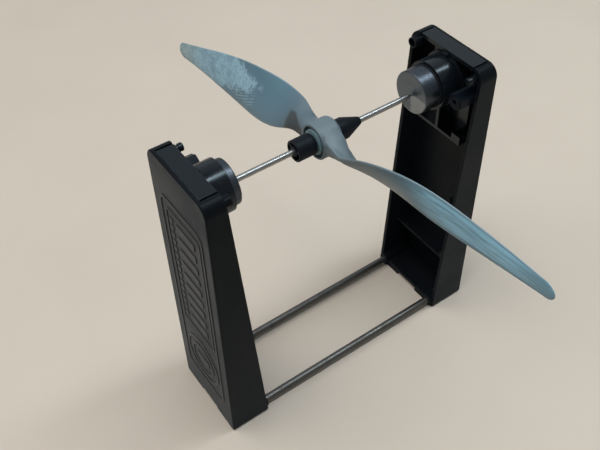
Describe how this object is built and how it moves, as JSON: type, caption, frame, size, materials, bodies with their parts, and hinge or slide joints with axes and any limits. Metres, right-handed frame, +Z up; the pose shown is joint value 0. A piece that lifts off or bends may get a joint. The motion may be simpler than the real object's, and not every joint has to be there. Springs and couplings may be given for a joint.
{
  "type": "propeller balancer",
  "caption": "Two-blade model propeller clamped on a steel shaft that hangs between magnets on two hollow plastic stands joined by steel rods.",
  "frame": {"origin": "floor level, midway between the two stands, on the shaft's vertical plane", "axes": "+X along the shaft from the stand with the finger nut's side to the other, +Y across the stands, along the lowered blade, +Z up"},
  "size_m": [0.182, 0.3002, 0.1964],
  "materials": {
    "stand_plastic": "lightly grained black injection-moulded plastic, semi-gloss",
    "bracket_plastic": "smooth black moulded plastic",
    "magnet_steel": "turned satin nickel plate",
    "carrier_plastic": "black moulded plastic",
    "rod_steel": "drawn steel rod, dull bright",
    "shaft_steel": "polished ground steel",
    "propeller_nylon": "blue-grey glass-filled nylon, scuffed",
    "bush_plastic": "grey plastic",
    "ring_plastic": "dull grey-blue moulded plastic",
    "nut_plastic": "matte black moulded plastic"
  },
  "bodies": {
    "base": {"left_stand_shell": "stand_plastic", "left_magnet_bracket": "bracket_plastic", "left_hex_post": "bracket_plastic", "left_latch_peg": "bracket_plastic", "front_rod": "rod_steel", "rear_rod": "rod_steel"},
    "left_magnet": {"left_magnet_disc": "magnet_steel", "left_magnet_carrier": "carrier_plastic"},
    "right_stand": {"right_stand_shell": "stand_plastic", "right_magnet_bracket": "bracket_plastic", "right_hex_post": "bracket_plastic", "right_latch_peg": "bracket_plastic"},
    "right_magnet": {"right_magnet_disc": "magnet_steel", "right_magnet_carrier": "carrier_plastic"},
    "rotor": {"balance_shaft": "shaft_steel", "propeller": "propeller_nylon", "hub_bush": "bush_plastic", "hub_washer": "ring_plastic"},
    "finger_nut": {"clamp_nut": "nut_plastic"},
    "cone": {"centring_cone": "nut_plastic"}
  },
  "joints": [
    {"name": "right_stand_slide", "type": "slide", "parent": "base", "child": "right_stand", "axis": [1, 0, 0], "range_m": [0, 0.014]},
    {"name": "left_magnet_slide", "type": "slide", "parent": "base", "child": "left_magnet", "axis": [-1, 0, 0], "range_m": [0, 0.0035]},
    {"name": "right_magnet_slide", "type": "slide", "parent": "right_stand", "child": "right_magnet", "axis": [1, 0, 0], "range_m": [0, 0.006]},
    {"name": "rotor_spin", "type": "hinge", "parent": "right_magnet", "child": "rotor", "pos_m": [-0.004, 0, 0.1659], "axis": [1, 0, 0], "continuous": true},
    {"name": "finger_nut_slide", "type": "slide", "parent": "rotor", "child": "finger_nut", "axis": [-1, 0, 0], "range_m": [0, 0.03]},
    {"name": "cone_slide", "type": "slide", "parent": "rotor", "child": "cone", "axis": [1, 0, 0], "range_m": [0, 0.028]}
  ]
}
